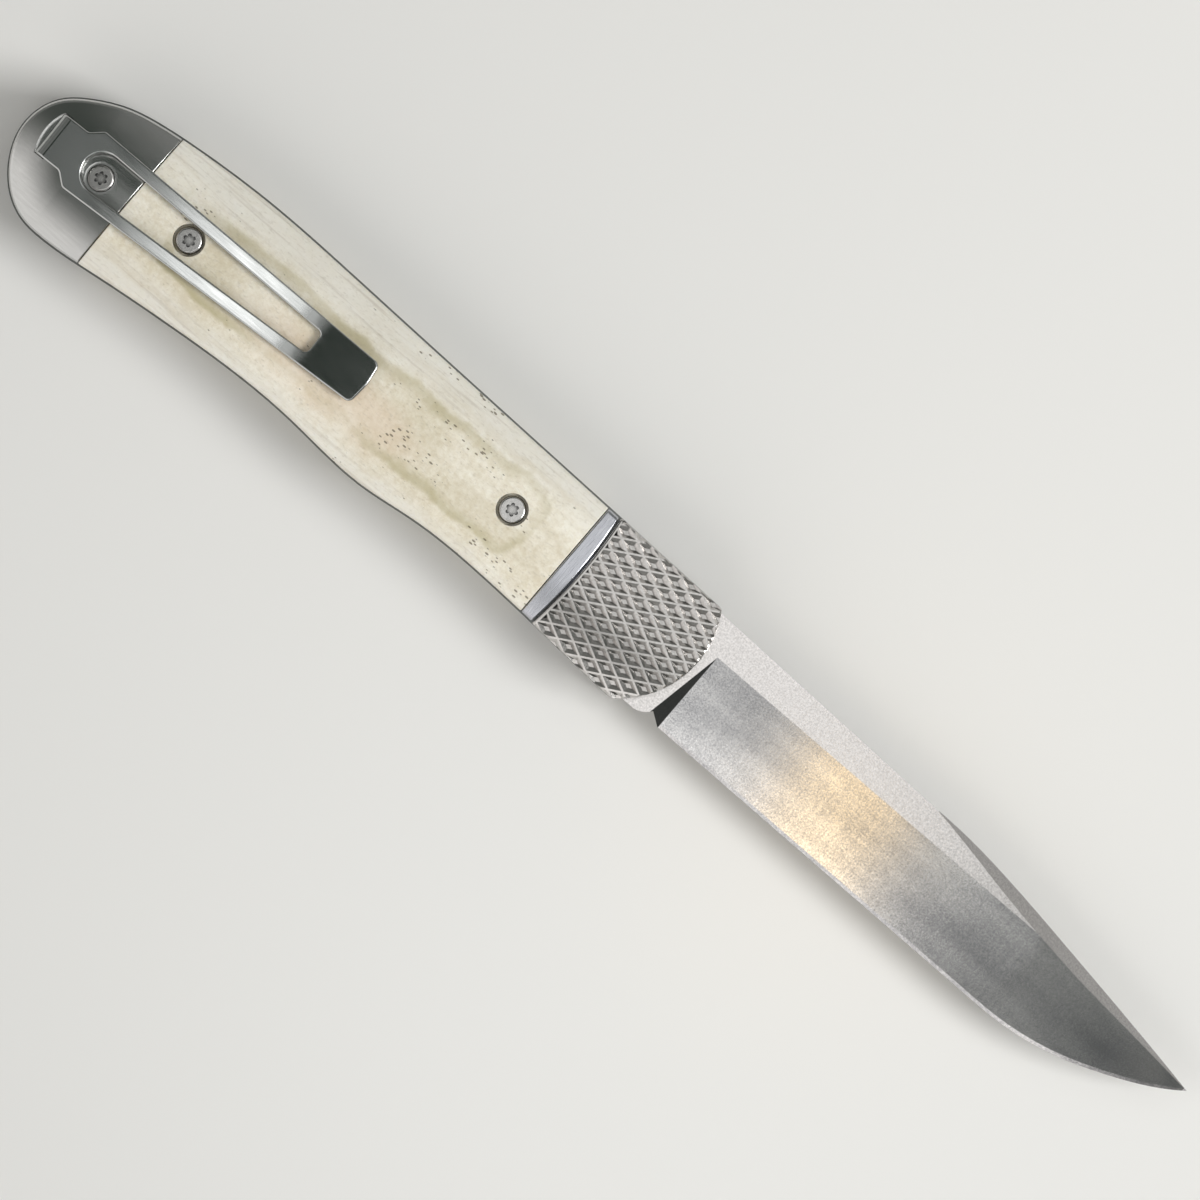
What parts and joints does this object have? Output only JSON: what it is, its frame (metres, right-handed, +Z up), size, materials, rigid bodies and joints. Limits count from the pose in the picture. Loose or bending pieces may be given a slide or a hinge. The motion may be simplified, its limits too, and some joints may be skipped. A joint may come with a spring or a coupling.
{
  "type": "folding pocket knife",
  "caption": "Open folding pocket knife: drop-point blade, knurled bolsters, smooth bone scales, polished end caps and a spring pocket clip.",
  "frame": {"origin": "middle of the open knife's bounding box, on the plane that it lies on", "axes": "+X along the knife to the blade's tip, +Y to the blade's spine, +Z up through the side that carries the pocket clip"},
  "size_m": [0.1906, 0.0224, 0.0142],
  "materials": {
    "blade_steel": "fine satin ground flats and bevels",
    "bolster_steel": "knurled, satin with bright ridges",
    "band_steel": "fine brushed along the band",
    "polished_steel": "mirror polished",
    "bone": "smooth polished bone with faint streaks and pores",
    "liner_steel": "plain ground sheet",
    "screw_steel": "turned, round edged heads",
    "spring_steel": "plain tempered strip",
    "washer_bronze": "plain bronze"
  },
  "bodies": {
    "frame": {"pivot_barrel": "screw_steel", "pivot_screws": "screw_steel", "right_pivot_washer": "washer_bronze", "left_pivot_washer": "washer_bronze", "stop_pin": "screw_steel", "kick_spring": "spring_steel", "right_liner": "liner_steel", "left_liner": "liner_steel", "backspacer": "liner_steel", "frame_pins": "screw_steel", "right_scale": "bone", "left_scale": "bone", "right_end_cap": "polished_steel", "left_end_cap": "polished_steel", "right_band": "band_steel", "left_band": "band_steel", "band_rivets": "screw_steel", "left_bolster": "bolster_steel", "left_bolster_screws": "screw_steel", "lever_stud": "screw_steel", "return_spring": "spring_steel", "return_post": "screw_steel", "sear_rivet": "screw_steel", "right_scale_screws": "screw_steel", "left_scale_screws": "screw_steel", "right_cap_screw": "screw_steel", "left_cap_screw": "screw_steel"},
    "blade": {"blade": "blade_steel"},
    "release": {"release_bolster": "bolster_steel", "release_lever": "spring_steel", "lever_screws": "screw_steel"},
    "sear": {"sear_leaf": "spring_steel"},
    "clip": {"pocket_clip": "polished_steel"}
  },
  "joints": [
    {"name": "blade_pivot", "type": "hinge", "parent": "frame", "child": "blade", "pos_m": [0.00377, -0.00044, 0.00625], "axis": [0, 0, 1], "range_deg": [-180, 0], "stiffness_Nm_per_rad": 0.03, "springref_deg": 28.65, "deforming": ["kick_spring", "sear_leaf"]},
    {"name": "bolster_swing", "type": "hinge", "parent": "frame", "child": "release", "pos_m": [-0.06961, 0.00082, 0.0098], "axis": [0, 0, 1], "range_deg": [0, 1.5], "stiffness_Nm_per_rad": 3, "springref_deg": -2.86, "deforming": ["return_spring"]},
    {"name": "sear_lift", "type": "hinge", "parent": "frame", "child": "sear", "pos_m": [-0.0117, 0.00178, 0.00838], "axis": [0, -1, 0], "range_deg": [0, 3.46]},
    {"name": "clip_flex", "type": "hinge", "parent": "frame", "child": "clip", "pos_m": [-0.0912, 0.00006, 0.0125], "axis": [0, -1, 0], "range_deg": [0, 3], "stiffness_Nm_per_rad": 3, "deforming": ["pocket_clip"]}
  ],
  "couplings": [
    {"joint": "sear_lift", "follows": "bolster_swing", "ratio": 2.2717}
  ]
}
